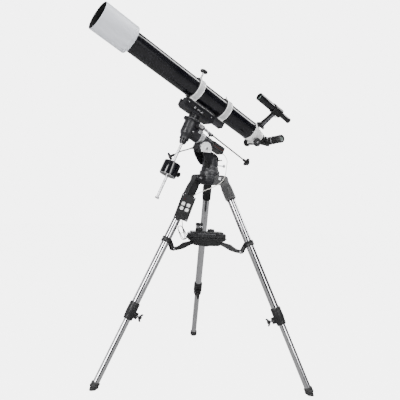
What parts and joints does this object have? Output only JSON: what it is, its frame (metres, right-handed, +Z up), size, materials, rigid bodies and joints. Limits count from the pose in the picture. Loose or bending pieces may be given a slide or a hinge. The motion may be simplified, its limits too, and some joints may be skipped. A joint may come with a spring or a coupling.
{
  "type": "telescope on tripod",
  "caption": "Long refracting telescope with dew hood, finder and angled eyepiece on a geared equatorial mount with counterweight, on a folding tripod with spreader tray and hand control",
  "frame": {"origin": "on the floor, under the middle of the object's box", "axes": "+Z up; the tube points up towards -X and its eyepiece end is towards +X; the side with the hand control is -Y"},
  "size_m": [0.9603, 0.8889, 1.4768],
  "materials": {
    "tube_gloss_black": "glossy black enamel",
    "hood_grey": "satin pale grey plastic",
    "ring_white": "glossy white enamel on cast aluminium",
    "focuser_white": "glossy white moulding",
    "mount_casting_black": "black satin paint over cast aluminium",
    "bar_grey": "brushed grey aluminium",
    "weight_black": "black gloss paint on cast iron",
    "chrome": "polished chrome",
    "lens_glass": "coated optical glass",
    "plastic_black": "black moulded plastic",
    "case_black": "black moulded plastic",
    "optics_black": "black satin plastic",
    "key_white": "white keys",
    "cable_grey": "pale grey cable jacket",
    "cable_black": "thin black cord"
  },
  "bodies": {
    "stand": {"tripod_head": "mount_casting_black", "motor_cable": "cable_grey"},
    "leg_left": {"leg_bracket_left": "plastic_black", "upper_tube_left": "chrome", "leg_clamp_left": "plastic_black", "spreader_collar_left": "plastic_black", "controller_case": "case_black", "battery_cord": "cable_black", "cord_hank": "cable_black"},
    "lower_leg_left": {"lower_leg_left": "chrome"},
    "clamp_knob_left": {"clamp_knob_left": "plastic_black"},
    "spreader_arm_left": {"spreader_arm_left": "plastic_black"},
    "leg_right": {"leg_bracket_right": "plastic_black", "upper_tube_right": "chrome", "leg_clamp_right": "plastic_black", "spreader_collar_right": "plastic_black"},
    "lower_leg_right": {"lower_leg_right": "chrome"},
    "clamp_knob_right": {"clamp_knob_right": "plastic_black"},
    "spreader_arm_right": {"spreader_arm_right": "plastic_black"},
    "leg_rear": {"leg_bracket_rear": "plastic_black", "upper_tube_rear": "chrome", "leg_clamp_rear": "plastic_black", "spreader_collar_rear": "plastic_black"},
    "lower_leg_rear": {"lower_leg_rear": "chrome"},
    "clamp_knob_rear": {"clamp_knob_rear": "plastic_black"},
    "spreader_arm_rear": {"spreader_arm_rear": "plastic_black"},
    "tray": {"spreader_tray": "case_black", "battery_box": "case_black"},
    "azimuth": {"azimuth_base": "mount_casting_black"},
    "latitude_bolt": {"latitude_bolt": "mount_casting_black"},
    "azimuth_bolt": {"azimuth_bolt": "chrome"},
    "polar": {"polar_housing": "mount_casting_black", "ra_motor": "case_black"},
    "ra_lock_knob": {"ra_lock_knob": "plastic_black"},
    "ra_slow_knob": {"ra_slow_motion_knob": "plastic_black"},
    "dec_head": {"dec_housing": "mount_casting_black", "weight_shaft": "chrome"},
    "dec_slow_motion": {"dec_slow_motion": "plastic_black"},
    "counterweight": {"counterweight": "weight_black"},
    "counterweight_knob": {"counterweight_knob": "plastic_black"},
    "saddle": {"saddle": "mount_casting_black"},
    "saddle_knob": {"saddle_knob": "plastic_black"},
    "tube": {"dovetail_bar": "bar_grey", "ring_front": "ring_white", "ring_rear": "ring_white", "main_tube": "tube_gloss_black", "dew_shield": "hood_grey", "objective_lens": "lens_glass", "focuser_body": "focuser_white", "finder_bracket": "optics_black", "finder_scope": "tube_gloss_black"},
    "ring_knob": {"ring_knob": "plastic_black"},
    "focus_knobs": {"focus_knobs": "plastic_black"},
    "draw_tube": {"draw_tube": "chrome"},
    "star_diagonal": {"star_diagonal": "optics_black"},
    "eyepiece": {"eyepiece": "optics_black"},
    "controller_button_1": {"controller_button_1": "key_white"},
    "controller_button_2": {"controller_button_2": "key_white"},
    "controller_button_3": {"controller_button_3": "key_white"},
    "controller_button_4": {"controller_button_4": "key_white"}
  },
  "joints": [
    {"name": "leg_left_fold", "type": "hinge", "parent": "stand", "child": "leg_left", "pos_m": [0.04957, 0.01486, 0.853], "axis": [-0.0471, -0.9989, 0], "range_deg": [0, 10], "deforming": ["battery_cord", "cord_hank"]},
    {"name": "arm_left_fold", "type": "hinge", "parent": "leg_left", "child": "spreader_arm_left", "pos_m": [-0.05731, 0.0199, 0.542], "axis": [-0.0471, -0.9989, 0], "range_deg": [0, 33.5]},
    {"name": "leg_left_extend", "type": "slide", "parent": "leg_left", "child": "lower_leg_left", "axis": [-0.453, 0.0214, -0.8913], "range_m": [-0.24, 0.17]},
    {"name": "clamp_knob_left_turn", "type": "hinge", "parent": "leg_left", "child": "clamp_knob_left", "pos_m": [-0.20158, 0.02671, 0.2651], "axis": [0.8903, -0.042, -0.4535], "range_deg": [0, 360]},
    {"name": "leg_right_fold", "type": "hinge", "parent": "stand", "child": "leg_right", "pos_m": [0.14431, -0.04596, 0.853], "axis": [0.8886, 0.4587, 0], "range_deg": [0, 10]},
    {"name": "arm_right_fold", "type": "hinge", "parent": "leg_right", "child": "spreader_arm_right", "pos_m": [0.19339, -0.14104, 0.542], "axis": [0.8886, 0.4587, 0], "range_deg": [0, 33.5]},
    {"name": "leg_right_extend", "type": "slide", "parent": "leg_right", "child": "lower_leg_right", "axis": [0.208, -0.403, -0.8913], "range_m": [-0.24, 0.17]},
    {"name": "clamp_knob_right_turn", "type": "hinge", "parent": "leg_right", "child": "clamp_knob_right", "pos_m": [0.25963, -0.26939, 0.2651], "axis": [-0.4088, 0.792, -0.4535], "range_deg": [0, 360]},
    {"name": "leg_rear_fold", "type": "hinge", "parent": "stand", "child": "leg_rear", "pos_m": [0.14962, 0.0665, 0.853], "axis": [-0.8415, 0.5402, 0], "range_deg": [0, 10]},
    {"name": "arm_rear_fold", "type": "hinge", "parent": "leg_rear", "child": "spreader_arm_rear", "pos_m": [0.20742, 0.15654, 0.542], "axis": [-0.8415, 0.5402, 0], "range_deg": [0, 33.5]},
    {"name": "leg_rear_extend", "type": "slide", "parent": "leg_rear", "child": "lower_leg_rear", "axis": [0.245, 0.3816, -0.8913], "range_m": [-0.24, 0.17]},
    {"name": "clamp_knob_rear_turn", "type": "hinge", "parent": "leg_rear", "child": "clamp_knob_rear", "pos_m": [0.28545, 0.27808, 0.2651], "axis": [-0.4815, -0.75, -0.4535], "range_deg": [0, 360]},
    {"name": "tray_slide", "type": "slide", "parent": "stand", "child": "tray", "axis": [0, 0, 1], "range_m": [0, 0.061]},
    {"name": "azimuth_turn", "type": "hinge", "parent": "stand", "child": "azimuth", "pos_m": [0.1145, 0.0118, 0.8715], "axis": [0, 0, 1], "range_deg": [-180, 180], "deforming": ["motor_cable"]},
    {"name": "latitude_bolt_turn", "type": "hinge", "parent": "azimuth", "child": "latitude_bolt", "pos_m": [0.1515, 0.0118, 0.94], "axis": [1, 0, 0], "range_deg": [0, 360]},
    {"name": "azimuth_bolt_turn", "type": "hinge", "parent": "azimuth", "child": "azimuth_bolt", "pos_m": [0.152, 0.0118, 0.9165], "axis": [1, 0, 0], "range_deg": [0, 360]},
    {"name": "latitude_tilt", "type": "hinge", "parent": "azimuth", "child": "polar", "pos_m": [0.0625, 0.0118, 0.982], "axis": [0, 1, 0], "range_deg": [-10, 13]},
    {"name": "ra_turn", "type": "hinge", "parent": "polar", "child": "dec_head", "pos_m": [0.0467, 0.0118, 1.02952], "axis": [-0.9245, 0, 0.3811], "range_deg": [-30, 90]},
    {"name": "ra_lock_turn", "type": "hinge", "parent": "polar", "child": "ra_lock_knob", "pos_m": [0.09283, -0.00278, 1.04433], "axis": [0.3454, -0.4226, 0.8379], "range_deg": [0, 180]},
    {"name": "ra_slow_turn", "type": "hinge", "parent": "polar", "child": "ra_slow_knob", "pos_m": [-0.01388, 0.11399, 0.95368], "axis": [-0.6085, 0.6373, -0.4729], "continuous": true},
    {"name": "dec_turn", "type": "hinge", "parent": "dec_head", "child": "saddle", "pos_m": [0.01136, 0.00667, 1.11959], "axis": [0.38, -0.0732, 0.9221], "continuous": true},
    {"name": "dec_slow_turn", "type": "hinge", "parent": "dec_head", "child": "dec_slow_motion", "pos_m": [0.03651, -0.03528, 1.06252], "axis": [0.9004, -0.0137, -0.4348], "continuous": true},
    {"name": "counterweight_slide", "type": "slide", "parent": "dec_head", "child": "counterweight", "axis": [0.38, -0.0732, 0.9221], "range_m": [-0.095, 0.078]},
    {"name": "counterweight_knob_turn", "type": "hinge", "parent": "counterweight", "child": "counterweight_knob", "pos_m": [-0.04753, 0.02586, 0.86125], "axis": [0.9245, 0, -0.3811], "range_deg": [0, 360]},
    {"name": "saddle_knob_turn", "type": "hinge", "parent": "saddle", "child": "saddle_knob", "pos_m": [-0.02322, 0.04053, 1.1669], "axis": [0.0279, 0.9973, 0.0677], "range_deg": [0, 360]},
    {"name": "bar_slide", "type": "slide", "parent": "saddle", "child": "tube", "axis": [-0.9245, 0, 0.3811], "range_m": [-0.02, 0.02]},
    {"name": "ring_knob_turn", "type": "hinge", "parent": "tube", "child": "ring_knob", "pos_m": [0.03723, -0.00693, 1.30936], "axis": [0.38, -0.0732, 0.9221], "range_deg": [0, 360]},
    {"name": "focus_turn", "type": "hinge", "parent": "tube", "child": "focus_knobs", "pos_m": [0.35239, 0.00228, 1.04375], "axis": [0.0279, 0.9973, 0.0677], "range_deg": [0, 650]},
    {"name": "draw_slide", "type": "slide", "parent": "tube", "child": "draw_tube", "axis": [0.9245, 0, -0.3811], "range_m": [0, 0.079]},
    {"name": "diagonal_turn", "type": "hinge", "parent": "draw_tube", "child": "star_diagonal", "pos_m": [0.43271, -0.00075, 1.0552], "axis": [-0.9245, 0, 0.3811], "continuous": true},
    {"name": "eyepiece_slide", "type": "slide", "parent": "star_diagonal", "child": "eyepiece", "axis": [0.0332, -0.9962, 0.0806], "range_m": [0, 0.015]},
    {"name": "button_1_press", "type": "slide", "parent": "leg_left", "child": "controller_button_1", "axis": [0.5954, 0.8034, 0], "range_m": [0, 0.0015], "stiffness_N_per_m": 350},
    {"name": "button_2_press", "type": "slide", "parent": "leg_left", "child": "controller_button_2", "axis": [0.5954, 0.8034, 0], "range_m": [0, 0.0015], "stiffness_N_per_m": 350},
    {"name": "button_3_press", "type": "slide", "parent": "leg_left", "child": "controller_button_3", "axis": [0.5954, 0.8034, 0], "range_m": [0, 0.0015], "stiffness_N_per_m": 350},
    {"name": "button_4_press", "type": "slide", "parent": "leg_left", "child": "controller_button_4", "axis": [0.5954, 0.8034, 0], "range_m": [0, 0.0015], "stiffness_N_per_m": 350}
  ],
  "couplings": [
    {"joint": "arm_left_fold", "follows": "leg_left_fold", "ratio": 3.32},
    {"joint": "leg_right_fold", "follows": "leg_left_fold", "ratio": 1},
    {"joint": "arm_right_fold", "follows": "leg_left_fold", "ratio": 3.32},
    {"joint": "leg_rear_fold", "follows": "leg_left_fold", "ratio": 1},
    {"joint": "arm_rear_fold", "follows": "leg_left_fold", "ratio": 3.32},
    {"joint": "tray_slide", "follows": "leg_left_fold", "m_per_rad": 0.3472},
    {"joint": "focus_turn", "follows": "draw_slide", "rad_per_m": 142.86}
  ]
}
